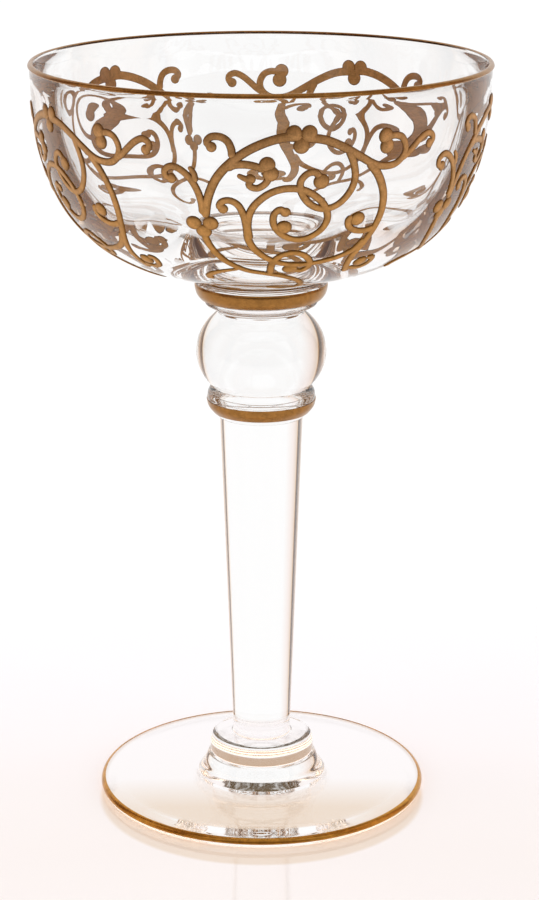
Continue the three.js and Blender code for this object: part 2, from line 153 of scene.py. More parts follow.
def turned(name, profile, materials, is_fused=None, ripple=None):
    """Turns a profile of (radius, height) points, listed up the outside, into a closed solid round Z.
    is_fused(radius, height) marks the flat faces that are fused to a neighbour. ripple(step, angles)
    says how far the points of one ring are moved outwards."""
    angles = np.linspace(0, 2 * math.pi, STEPS_ROUND, endpoint=False)
    points, rings = [], []
    for step, (radius, height) in enumerate(profile):
        first = len(points)
        if radius == 0:
            points.append((0, 0, height))
            rings.append([first] * STEPS_ROUND)
        else:
            reach = radius + (ripple(step, angles) if ripple else 0 * angles)
            points.extend(zip(reach * np.cos(angles), reach * np.sin(angles), [height] * STEPS_ROUND))
            rings.append(list(range(first, first + STEPS_ROUND)))
    if rings[0][0] != 0 or len(set(rings[0])) > 1:
        rings.append(rings[0])
        profile = [*profile, profile[0]]
    faces, slots = [], []
    for (lower, upper), ring, above in zip(zip(profile, profile[1:]), rings, rings[1:]):
        middle = ((lower[0] + upper[0]) / 2, (lower[1] + upper[1]) / 2)
        slot = 1 if is_fused and lower[1] == upper[1] and is_fused(*middle) else 0
        for i in range(STEPS_ROUND):
            j = (i + 1) % STEPS_ROUND
            corners = list(dict.fromkeys([ring[i], ring[j], above[j], above[i]]))
            if len(corners) > 2:
                faces.append(corners)
                slots.append(slot)
    return mesh_piece(name, points, faces, materials, slots)


def settle(piece, slot, *nodes):
    """The piece stands for its CAD nodes and rides with the one body. The slot it is given is not used.
    """
    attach(piece, "root")
    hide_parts(*nodes)


crystal = crystal_material()
fused = fused_material()
edge_centre = FOOT_RADIUS - FOOT_EDGE_ROUND
foot_profile = [
    (0, 0),
    (edge_centre - FOOT_EDGE_ROUND, 0),
    (edge_centre - FOOT_EDGE_ROUND * 0.2, 0),
    *arc((edge_centre, FOOT_EDGE_ROUND), FOOT_EDGE_ROUND, -80, 0),
    *arc((edge_centre, FOOT_EDGE_TOP - FOOT_EDGE_ROUND), FOOT_EDGE_ROUND, 0, 87),
    *smooth_curve([
        (36.9 * MM, FOOT_EDGE_TOP + 0.12 * MM),
        (35.5 * MM, FOOT_EDGE_TOP + 0.32 * MM),
        (34 * MM, FOOT_EDGE_TOP + 0.53 * MM),
        (32 * MM, FOOT_EDGE_TOP + 0.67 * MM),
        (28 * MM, FOOT_EDGE_TOP + 0.75 * MM),
        (23 * MM, FOOT_EDGE_TOP + 0.82 * MM),
        (LOWER_STEP_RADIUS + 2 * MM, FOOT_TOP - 0.3 * MM),
        (LOWER_STEP_RADIUS, FOOT_TOP),
    ]),
    (0, FOOT_TOP),
]
foot = turned("foot_disc", foot_profile, [crystal, fused], lambda r, z: z == FOOT_TOP)
settle(foot, "crystal", "foot")


# Foot gilding
# A band of liquid gold brushed on the foot's edge with the glass turning on a wheel, then fired.
# It is under a hundredth of a millimetre thick on the real one, and is drawn a little proud here.
GOLD_SKIN = 0.12 * MM
BAND_FOOT = 1.15 * MM
LOW_GOLD, HIGH_GOLD = 128 * MM, 162 * MM
CLOUDS_PER_MM = 0.7
GRAINS_PER_MM = 3.0
MOTTLE_DARK, MOTTLE_LIGHT = 0.72, 1.2
GRAIN_DEPTH = 0.09 * MM


def gold_material(name, face_hex, low_reflection_hex, edge_shade_hex, roughness):
    """Fired gold: satin and slightly mottled, with a painted reflection of the warm board as a second
    tone low on the bowl, and painted shade darkening it towards the edges of the relief. Its grain is
    finer on the real one, and is drawn coarse enough to show."""
    material, tree, output = new_material(name)
    place = node(tree, "ShaderNodeTexCoord").outputs["Object"]
    height = node(tree, "ShaderNodeSeparateXYZ", {"Vector": place}).outputs["Z"]
    # Painted reflection: the gold turns a warmer, deeper tone low on the bowl, where it would mirror the
    # warm board.
    low_reflection_share = node(tree, "ShaderNodeMapRange", {
        "Value": height,
        "From Min": LOW_GOLD,
        "From Max": HIGH_GOLD,
        "To Min": 1.0,
        "To Max": 0.0,
    }).outputs["Result"]
    thin_share = node(tree, "ShaderNodeAttribute", attribute_name="thin").outputs["Fac"]
    body = node(tree, "ShaderNodeMix", {0: low_reflection_share, 6: linear(face_hex), 7: linear(low_reflection_hex)},
                data_type="RGBA").outputs[2]
    cloud = node(tree, "ShaderNodeTexNoise", {
        "Vector": place,
        "Scale": CLOUDS_PER_MM / MM,
        "Detail": 3.0,
    }).outputs["Fac"]
    grain = node(tree, "ShaderNodeTexNoise", {
        "Vector": place,
        "Scale": GRAINS_PER_MM / MM,
        "Detail": 3.0,
    }).outputs["Fac"]
    both = node(tree, "ShaderNodeMath", {0: cloud, 1: grain}, operation="ADD").outputs[0]
    mottle = node(tree, "ShaderNodeMapRange", {
        "Value": both,
        "From Min": 0.7,
        "From Max": 1.3,
        "To Min": MOTTLE_DARK,
        "To Max": MOTTLE_LIGHT,
    }).outputs["Result"]
    mottled = node(tree, "ShaderNodeVectorMath", {0: body, "Scale": mottle},
                   operation="SCALE").outputs[0]
    # Painted shade: the colour darkens towards the edges of the relief.
    colour = node(tree, "ShaderNodeMix", {0: thin_share, 6: mottled, 7: linear(edge_shade_hex)},
                  data_type="RGBA").outputs[2]
    relief = node(tree, "ShaderNodeBump", {
        "Height": grain,
        "Strength": 0.5,
        "Distance": GRAIN_DEPTH,
    }).outputs["Normal"]
    gold = node(tree, "ShaderNodeBsdfPrincipled", {
        "Base Color": colour,
        "Metallic": 1.0,
        "Roughness": roughness,
        "Normal": relief,
    })
    tree.links.new(gold.outputs["BSDF"], output.inputs["Surface"])
    return material


def gold_underside_painted_glow():
    """The side of fired gold that faces the glass isn't burnished and is pale buff. It is given a
    painted glow, so that it shows through the glass lit up.
    """
    material, tree, output = new_material("gold_underside_with_painted_glow")
    # Painted glow: the underside gives off light of its own, standing in for the light that reaches it
    # through the glass.
    dull = node(tree, "ShaderNodeBsdfPrincipled", {
        "Base Color": linear("#f7ece0"),
        "Roughness": 0.9,
        "Emission Color": linear("#fff8f0"),
        "Emission Strength": 0.6,
    })
    tree.links.new(dull.outputs["BSDF"], output.inputs["Surface"])
    return material


glowing_gold_underside = gold_underside_painted_glow()
gold_foot = gold_material("burnished_fired_gold", "#c88f3e", "#c88f3e", "#8a5c24", 0.22)


def skin(profile, thickness):
    """A closed skin of little thickness whose outside is the profile given, listed up the outside."""
    line = np.array(profile)
    along = np.gradient(line, axis=0)
    normal = np.stack([along[:, 1], -along[:, 0]], axis=1)
    normal /= np.linalg.norm(normal, axis=1)[:, None]
    inner = line - normal * thickness
    return [tuple(p) for p in line] + [tuple(p) for p in inner[::-1]]


def outward(profile, distance):
    """A profile moved off its glass by a distance."""
    count = len(profile)
    return skin(profile, -distance)[:count - 1:-1]


edge_line = [
    (FOOT_RADIUS, BAND_FOOT),
    *arc((edge_centre, FOOT_EDGE_TOP - FOOT_EDGE_ROUND), FOOT_EDGE_ROUND, 5, 78),
]
foot_gold = turned("foot_gold", skin(outward(edge_line, GOLD_SKIN), 2 * GOLD_SKIN), [gold_foot])
edge_count = len(edge_line)
# The inner faces of the foot's gold take the pale buff underside with its painted glow.
under = [0] * (STEPS_ROUND * edge_count) + [1] * (STEPS_ROUND * (edge_count - 1)) + [0] * STEPS_ROUND
foot_gold.data.materials.append(glowing_gold_underside)
foot_gold.data.polygons.foreach_set("material_index", under)
settle(foot_gold, "gilding", "foot_gilding")


# Base steps
# A low bell with a rounded drum on it, where the stem was stuck to the foot while both were hot.
# Each softened edge comes from reheating at the furnace mouth, and the joints are fused.
LOWER_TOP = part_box("lower_base_step")[1].z
UPPER_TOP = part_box("upper_base_step")[1].z
UNDERCUT_RADIUS = 12.15 * MM
SHAFT_FOOT_RADIUS = 6.74 * MM

lower_profile = [
    (0, FOOT_TOP),
    *smooth_curve([
        (LOWER_STEP_RADIUS, FOOT_TOP),
        (14.95 * MM, FOOT_TOP + 0.45 * MM),
        (14.6 * MM, FOOT_TOP + 0.95 * MM),
        (14.2 * MM, FOOT_TOP + 1.5 * MM),
        (13.8 * MM, FOOT_TOP + 2.1 * MM),
        (13.45 * MM, FOOT_TOP + 2.8 * MM),
        (13.15 * MM, FOOT_TOP + 3.6 * MM),
        (12.75 * MM, FOOT_TOP + 4.4 * MM),
        (UNDERCUT_RADIUS, LOWER_TOP),
    ]),
    (0, LOWER_TOP),
]
lower_step = turned("lower_step", lower_profile, [crystal, fused],
                    lambda r, z: z in (FOOT_TOP, LOWER_TOP))
settle(lower_step, "crystal", "lower_base_step")

upper_profile = [
    (0, LOWER_TOP),
    *smooth_curve([
        (UNDERCUT_RADIUS, LOWER_TOP),
        (12.36 * MM, FOOT_TOP + 5.1 * MM),
        (12.38 * MM, FOOT_TOP + 6.0 * MM),
        (12.34 * MM, FOOT_TOP + 7.0 * MM),
        (12.2 * MM, FOOT_TOP + 8.0 * MM),
        (11.95 * MM, FOOT_TOP + 8.75 * MM),
        (11.5 * MM, FOOT_TOP + 9.3 * MM),
        (10.9 * MM, FOOT_TOP + 9.6 * MM),
        (10.2 * MM, FOOT_TOP + 9.69 * MM),
        (SHAFT_FOOT_RADIUS + 0.5 * MM, UPPER_TOP),
    ]),
    (0, UPPER_TOP),
]
upper_step = turned("upper_step", upper_profile, [crystal, fused],
                    lambda r, z: z == LOWER_TOP or (z == UPPER_TOP and r < SHAFT_FOOT_RADIUS))
settle(upper_step, "crystal", "upper_base_step")


# Shaft
# A solid bar of the same crystal, drawn out while hot, so it narrows evenly towards the foot.
# It flares a little where it was pressed on the drum, and both its ends are fused.
SHAFT_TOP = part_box("stem_shaft")[1].z
SHAFT_TOP_RADIUS = 9.7 * MM
shaft_profile = [
    (0, UPPER_TOP),
    *smooth_curve([
        (SHAFT_FOOT_RADIUS + 0.5 * MM, UPPER_TOP),
        (SHAFT_FOOT_RADIUS + 0.2 * MM, UPPER_TOP + 0.35 * MM),
        (SHAFT_FOOT_RADIUS + 0.05 * MM, UPPER_TOP + 1.2 * MM),
        (SHAFT_FOOT_RADIUS + 0.09 * MM, UPPER_TOP + 2.4 * MM),
    ]),
    (SHAFT_FOOT_RADIUS + 0.12 * MM, UPPER_TOP + 3.2 * MM),
    (SHAFT_TOP_RADIUS, SHAFT_TOP),
    (0, SHAFT_TOP),
]
shaft = turned("shaft", shaft_profile, [crystal, fused], lambda r, z: True)
settle(shaft, "crystal", "stem_shaft")


# Ring
# A low knop pinched out of the hot stem under the ball. Its underside carries a gilt band, brushed
# on in the same liquid gold as the foot's edge but left less burnished.
RING_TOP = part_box("stem_ring")[1].z
RING_RADIUS = 12.6 * MM
BALL_FOOT_RADIUS = 11.15 * MM
RING_WIDEST = RING_TOP - 2.96 * MM
RING_GOLD_START = 1.2 * MM
ring_underside = smooth_curve([
    (SHAFT_TOP_RADIUS + 0.3 * MM, SHAFT_TOP + 0.05 * MM),
    (11.3 * MM, SHAFT_TOP + 1.4 * MM),
    (12.25 * MM, SHAFT_TOP + 2.7 * MM),
    (RING_RADIUS, RING_WIDEST),
])
ring_profile = [
    (0, SHAFT_TOP),
    (SHAFT_TOP_RADIUS, SHAFT_TOP),
    *ring_underside,
    *smooth_curve([
        (RING_RADIUS, RING_WIDEST + 0.4 * MM),
        (12.4 * MM, RING_TOP - 1.3 * MM),
        (12.0 * MM, RING_TOP - 0.5 * MM),
        (11.5 * MM, RING_TOP - 0.12 * MM),
        (BALL_FOOT_RADIUS, RING_TOP),
    ]),
    (0, RING_TOP),
]
ring = turned("ring_knop", ring_profile, [crystal, fused],
              lambda r, z: z == RING_TOP or (z == SHAFT_TOP and r < SHAFT_TOP_RADIUS))
settle(ring, "crystal", "stem_ring")

gold_band = gold_material("brushed_fired_gold", "#a1743d", "#a1743d", "#8a5c24", 0.24)
ring_gold_line = [p for p in ring_underside if p[1] > SHAFT_TOP + RING_GOLD_START]
ring_gold = turned("ring_gold", skin(outward(ring_gold_line, GOLD_SKIN), 2 * GOLD_SKIN), [gold_band])
settle(ring_gold, "gilding", "ring_gilding")


# Ball
# A solid gather of crystal, turned to a slightly flattened ball in a wet wooden block. It is fused
# to the ring below and to the collar above, so light passes through the joints.
BALL_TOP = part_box("ball_knop")[1].z
BALL_RADIUS = 15.1 * MM
BALL_TOP_RADIUS = 10.0 * MM
BALL_POINTS = 49
ball_from = -math.acos(BALL_FOOT_RADIUS / BALL_RADIUS)
ball_to = math.acos(BALL_TOP_RADIUS / BALL_RADIUS)
BALL_HALF_HEIGHT = (BALL_TOP - RING_TOP) / (math.sin(ball_to) - math.sin(ball_from))
BALL_MIDDLE = RING_TOP - BALL_HALF_HEIGHT * math.sin(ball_from)
ball_side = [(BALL_RADIUS * math.cos(t), BALL_MIDDLE + BALL_HALF_HEIGHT * math.sin(t))
             for t in np.linspace(ball_from, ball_to, BALL_POINTS)]
ball_side[0] = (BALL_FOOT_RADIUS, RING_TOP)
ball_side[-1] = (BALL_TOP_RADIUS, BALL_TOP)
ball = turned("ball", [(0, RING_TOP), *ball_side, (0, BALL_TOP)], [crystal, fused], lambda r, z: True)
settle(ball, "crystal", "ball_knop")


# Collar
# A flared disc of crystal between ball and bowl, tooled while hot, with a small step under it.
# Its broad edge is gilt in the same way as the ring.
COLLAR_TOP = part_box("upper_collar")[1].z
COLLAR_RADIUS = 15.2 * MM
COLLAR_LIP_RADIUS = 12.9 * MM
NECK_RADIUS = 14.2 * MM
collar_edge = smooth_curve([
    (14.1 * MM, COLLAR_TOP - 3.4 * MM),
    (14.75 * MM, COLLAR_TOP - 2.5 * MM),
    (15.1 * MM, COLLAR_TOP - 1.4 * MM),
    (COLLAR_RADIUS, COLLAR_TOP - 0.6 * MM),
    (15.0 * MM, COLLAR_TOP - 0.15 * MM),
])
collar_profile = [
    (0, BALL_TOP),
    *smooth_curve([
        (BALL_TOP_RADIUS, BALL_TOP),
        (10.2 * MM, BALL_TOP + 0.9 * MM),
        (11.0 * MM, BALL_TOP + 1.5 * MM),
        (12.3 * MM, BALL_TOP + 1.75 * MM),
        (COLLAR_LIP_RADIUS, BALL_TOP + 2.15 * MM),
        (COLLAR_LIP_RADIUS, BALL_TOP + 2.6 * MM),
        (12.7 * MM, BALL_TOP + 2.95 * MM),
        (13.3 * MM, BALL_TOP + 3.2 * MM),
    ]),
    *collar_edge,
    (14.6 * MM, COLLAR_TOP),
    (NECK_RADIUS, COLLAR_TOP),
    (0, COLLAR_TOP),
]
collar = turned("collar", collar_profile, [crystal, fused],
                lambda r, z: z == BALL_TOP or (z == COLLAR_TOP and r < NECK_RADIUS))
settle(collar, "crystal", "upper_collar")

collar_gold = turned("collar_gold", skin(outward(collar_edge, GOLD_SKIN), 2 * GOLD_SKIN), [gold_band])
settle(collar_gold, "gilding", "collar_gilding")


# Bowl
# Blown into an optic mould, whose soft upright ribs stay on the inside, then opened out round.
# Its bottom is a thick pad of glass, and its wall thins towards the fire-polished lip.
RIM_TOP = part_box("bowl")[1].z
RIM_RADIUS = 52.0 * MM
RIM_FLARE = 0.22 * MM
RIM_FLARE_DROP = 3.0 * MM
BOWL_FOOT = COLLAR_TOP + 1.86 * MM
CURVE_TOP = RIM_TOP + 4.39 * MM
CURVE_POWER = 2.861
WALL_THICKNESS = 1.9 * MM
LIP_THICKNESS = 1.25 * MM
LIP_TAPER = 4.5 * MM
FLOOR_THICKNESS = 6.5 * MM
OPTIC_RIBS = 10
OPTIC_DEPTH = 0.3 * MM
OPTIC_TURN = math.radians(1)
OPTIC_FADE_LOW = 0.25
OPTIC_FADE_HIGH = 0.12
LIP_ROUND = 0.9 * MM
LIP_FOOT = RIM_TOP - LIP_ROUND
LIP_TILT = 12
LIP_POINTS = 13


def bowl_curve(radius, lowest, from_radius, to_height, steps=96):
    """The rounded-square curve of the bowl's outside or inside, from a radius up to a height."""
    start = math.asin(min(from_radius / radius, 1))
    curve = []
    for turn in np.linspace(start, math.pi / 2, steps):
        reach = math.sin(turn)
        height = CURVE_TOP - (1 - reach**CURVE_POWER) ** (1 / CURVE_POWER) * (CURVE_TOP - lowest)
        curve.append((radius * reach, height))
    kept = [p for p in curve if p[1] < to_height]
    drop = (CURVE_TOP - to_height) / (CURVE_TOP - lowest)
    kept.append((radius * (1 - drop**CURVE_POWER) ** (1 / CURVE_POWER), to_height))
    return kept


def flared(points):
    """The last few millimetres of the wall, opened out a little."""
    opened = []
    for radius, height in points:
        above = max(1 - (RIM_TOP - height) / RIM_FLARE_DROP, 0)
        opened.append((radius + RIM_FLARE * above * above, height))
    return opened


def thinned(points):
    """The inside of the wall, brought out towards the lip so that the wall is thinnest there."""
    brought = []
    for radius, height in points:
        share = max(1 - (LIP_FOOT - height) / LIP_TAPER, 0)
        brought.append((radius + (WALL_THICKNESS - LIP_THICKNESS) * share * share, height))
    return brought


outer_radius = RIM_RADIUS - RIM_FLARE
inner_radius = outer_radius - WALL_THICKNESS
inner_floor = BOWL_FOOT + FLOOR_THICKNESS
bowl_outside = flared(bowl_curve(outer_radius, BOWL_FOOT, NECK_RADIUS + 4.4 * MM, LIP_FOOT))
neck = smooth_curve([
    (NECK_RADIUS, COLLAR_TOP),
    (NECK_RADIUS + 0.05 * MM, COLLAR_TOP + 0.7 * MM),
    (NECK_RADIUS + 0.8 * MM, COLLAR_TOP + 1.6 * MM),
    (NECK_RADIUS + 2.4 * MM, COLLAR_TOP + 2.35 * MM),
    bowl_outside[0],
])[:-1]
bowl_inside = thinned(flared(bowl_curve(inner_radius, inner_floor, 0, LIP_FOOT)))
lip_middle = outer_radius + RIM_FLARE - LIP_THICKNESS / 2
lip = [(lip_middle + LIP_THICKNESS / 2 * math.cos(t), LIP_FOOT + (LIP_ROUND - GOLD_SKIN) * math.sin(t))
       for t in np.radians(np.linspace(LIP_TILT, 180 - LIP_TILT, LIP_POINTS))]
bowl_profile = [
    (0, COLLAR_TOP),
    *neck,
    *bowl_outside,
    *lip,
    *bowl_inside[::-1],
]
first_inside = len(bowl_profile) - len(bowl_inside)


def optic_ripple(step, angles):
    """Soft upright ribs on the inside of the wall, fading out over the floor and under the rim."""
    if step < first_inside:
        return 0 * angles
    share = (bowl_profile[step][1] - inner_floor) / (RIM_TOP - inner_floor)
    depth = OPTIC_DEPTH * min(share / OPTIC_FADE_LOW, 1) * min((1 - share) / OPTIC_FADE_HIGH, 1)
    return -depth * np.cos(OPTIC_RIBS * (angles + math.pi / 2 - OPTIC_TURN))


bowl = turned("bowl_cup", bowl_profile, [crystal, fused], lambda r, z: z == COLLAR_TOP, optic_ripple)
settle(bowl, "crystal", "bowl")


# Rim gilding
# The same liquid gold as on the ring, brushed round the outside of the rim and over the top of its
# lip, then fired. It ends short of the lip's inner side.
RIM_BAND = 1.3 * MM
GILT_LIP_POINTS = 10
rim_line = [p for p in bowl_outside if p[1] > RIM_TOP - RIM_BAND] + lip[:GILT_LIP_POINTS]
rim_gold = turned("rim_gold", skin(outward(rim_line, GOLD_SKIN), 2 * GOLD_SKIN), [gold_band])
settle(rim_gold, "gilding", "rim_gilding")


# Scroll
# Raised paste is trailed on the outside of the bowl, fired, then covered with gold and fired
# again. Five repeats go round, each a set of domed strokes with berries and curled ends.
SCROLL_REPEATS = 5
SCROLL_TURN = 0.013
WALL_FOOT_RADIUS = 13.2 * MM
VINE, BRANCH, CURL, TIP = 2.0 * MM, 1.75 * MM, 1.6 * MM, 1.0 * MM
BERRY_RADIUS = 1.75 * MM
BUD_RADIUS = 1.15 * MM
STROKE_HEIGHT = 0.28 * MM
BERRY_HEIGHT = 0.42 * MM
SUNK = 0.06 * MM
STROKE_STEP = 0.45 * MM
STROKE_END_SHARES = (0.02, 0.15, 0.4, 0.7)
ACROSS = 8
UNDERSIDE_SHARE = 0.85
DOME_POWER = 4
STROKE_EDGE_SHADE_POWER = 3
BERRY_EDGE_SHADE_POWER = 5
BERRY_CROWN = 0.97

# The second tone low on the bowl is a painted reflection of the warm board.
gold_scroll = gold_material("raised_fired_gold", "#cc9f6a", "#bd8a3c", "#5a3a12", 0.5)
wall = np.array(flared(bowl_curve(outer_radius, BOWL_FOOT, WALL_FOOT_RADIUS, RIM_TOP, 400)))
wall_steps = np.hypot(*np.diff(wall, axis=0).T)
wall_up = np.concatenate([[0], np.cumsum(wall_steps)])
wall_along = np.gradient(wall, wall_up, axis=0)
repeat_width = 2 * math.pi * RIM_RADIUS / SCROLL_REPEATS

# One repeat, drawn: across in hundredths of a repeat, up in hundredths of the wall.
# Each stroke is a width at its start and at its end, a centre line, and what it ends in.
strokes = [
    # The arch from the lower trefoil over to the curl on its right
    (VINE, VINE, [(-20.5, 61.4), (-18.9, 67.9), (-15.8, 74.2), (-11.3, 79), (-5.5, 83), (1, 85.8),
                  (7.3, 87.2), (12.3, 87)], ""),
    (VINE, CURL, [(12.3, 87), (19.5, 86.2), (26, 83.8), (32.5, 80.4), (37.8, 77.7), (42.1, 76.8),
                  (46.1, 77.2), (48.9, 79.2), (49.7, 82), (48.2, 84.9), (45.4, 86), (42.7, 85.7)], ""),
    # The tail that runs on to the right
    (CURL, CURL, [(48.3, 78.4), (51, 80.1), (53.3, 82), (56.2, 84.2), (59.2, 85.4), (61.5, 84.5),
                  (61.6, 82.9), (60.4, 82.1)], "bud"),
    # Curls left of the arch, the lower one with a leaf
    (BRANCH, CURL, [(-10.1, 80.8), (-10.3, 83.5), (-11.5, 86), (-13.9, 87.3), (-16.8, 87.2),
                    (-18.3, 85.6), (-16.8, 84.2)], "bud"),
    (BRANCH, CURL, [(-21.2, 62.4), (-21.2, 66.1), (-22.1, 70), (-24.2, 73.8), (-27.3, 76.6),
                    (-30.5, 77.7), (-33.1, 76.5), (-33.1, 74.6), (-31.1, 73.9)], "bud"),
    (BRANCH, TIP, [(-22.9, 73), (-23, 75.9), (-24.7, 77.9)], ""),
    # Branch inside the arch, with its hanging curl and leaf
    (VINE, CURL, [(-12.5, 77.6), (-9.5, 78.9), (-5.6, 79), (-1.6, 78.2), (0.6, 77)], ""),
    (CURL, CURL, [(1.6, 77), (1.2, 73.8), (-1.8, 71.7), (-4.6, 72.4), (-4.3, 74.5)], "bud"),
    (CURL, TIP, [(-4.6, 74.2), (-6.6, 74.9), (-8.6, 75.8)], ""),
    # Small curl left of the inner spiral
    (BRANCH, CURL, [(-5.2, 53.5), (-5.9, 57.8), (-6.7, 62.2), (-8.5, 65.9), (-11.3, 67.5), (-14, 67.1),
                    (-15.1, 65.5), (-13.9, 64.7)], "bud"),
    # The inner spiral
    (BRANCH, CURL, [(-5.0, 53.5), (-5.6, 58.6), (-4.7, 63.3), (-2.2, 66.9), (2.2, 70), (7.4, 71.4),
                    (13.2, 70.9), (18.2, 68.3), (21.6, 64.7), (22.8, 60.4), (20.8, 56.5), (16.2, 53.8),
                    (11.2, 53.5), (6.6, 55.6), (3.8, 59), (3.6, 62.6), (5.6, 64.6), (7.6, 63.6)], "bud"),
    # The leg under the spiral, swept to the right until it meets the outer branch
    (BRANCH, BRANCH, [(-5.9, 58.6), (-5.5, 53.5), (-2.9, 48.9), (2.2, 44.8), (9.1, 42.1),
                      (16.9, 41.5), (24.5, 42.4), (31.5, 44.3), (37, 47.3), (40.2, 51.8)], ""),
    # Branch from the arch's right side down and round into the small upper spiral
    (BRANCH, CURL, [(28, 82.9), (30.3, 78.2), (31.1, 73.4), (29.4, 69), (25.8, 65.5), (21, 64.3),
                    (16.3, 65.9), (13.1, 69.4), (12.2, 73.2), (14.2, 75.8), (17, 76.3), (19, 74.4)], ""),
    # Outer branch down the right side, with a side curl and a low curl
    (VINE, BRANCH, [(35.5, 78.7), (39.9, 74), (43, 67.9), (43.8, 61.7), (42.7, 55.8), (40.4, 49.8),
                    (38.4, 44.2), (38.6, 39.2), (40.8, 34.2)], ""),
    (BRANCH, CURL, [(42.4, 56.2), (39.3, 55.2), (35.4, 55.4), (32.1, 57), (30.9, 59.6),
                    (32.1, 61.1)], ""),
    (CURL, CURL, [(40.6, 37.4), (45.9, 36.2), (49.4, 37.4), (50.7, 39.8), (50, 41.9), (47.1, 41.8)], ""),
    # Vine from the lower trefoil under the bowl, hooked at its end, with a leaf to the left
    (BRANCH, CURL, [(-22.1, 56.9), (-21.1, 52.2), (-18.4, 46.8), (-13.9, 42.2), (-7, 38.3),
                    (1.4, 36.2), (9.5, 33.9), (16.8, 30.3), (21.8, 25.4), (21.9, 20.4),
                    (17.4, 17.4), (11, 17.6), (5.5, 20)], "bud"),
    (TIP, VINE, [(-10.8, 39.1), (-16.5, 37.8), (-21.6, 36.3), (-26.2, 33.6), (-26, 30.5)], ""),
    # Oval curl low on the vine
    (BRANCH, CURL, [(3.5, 36), (3.4, 40.5), (4.5, 43.9), (7.4, 46.5), (11.4, 47.6), (15.8, 46.6),
                    (19.3, 43.5), (19.9, 40.1), (17.4, 37.7), (13.5, 38.2)], ""),
]

# Berries: three at each trefoil, and one at the end of each larger curl
berries = [
    (9.7, 88.4), (14.7, 88.3), (12.2, 84.6),
    (-25, 59.3), (-18.8, 59.4), (-21.7, 56.4), (1.2, 79), (2.3, 76.2),
    (42.1, 83), (41.4, 86.1), (7.3, 58.2), (19.3, 73.4), (34.5, 59.9), (44.9, 40.1), (11.9, 39),
]


def on_flat(place):
    """A place on the drawing, in metres across and up the unrolled wall."""
    return np.array([place[0] / 100 * repeat_width, place[1] / 100 * wall_up[-1]])


def narrowing(up):
    """How much a length across the drawing shrinks where the bowl is narrower."""
    return np.interp(up, wall_up, wall[:, 0]) / RIM_RADIUS


def on_bowl(flat, lift, turn):
    """Points of the flat drawing laid on the bowl, lifted off it along its normal."""
    radius = np.interp(flat[:, 1], wall_up, wall[:, 0])
    height = np.interp(flat[:, 1], wall_up, wall[:, 1])
    normal_out = np.interp(flat[:, 1], wall_up, wall_along[:, 1])
    normal_up = -np.interp(flat[:, 1], wall_up, wall_along[:, 0])
    out = radius + normal_out * lift
    angle = flat[:, 0] / RIM_RADIUS + turn
    return np.column_stack([out * np.sin(angle), -out * np.cos(angle), height + normal_up * lift])


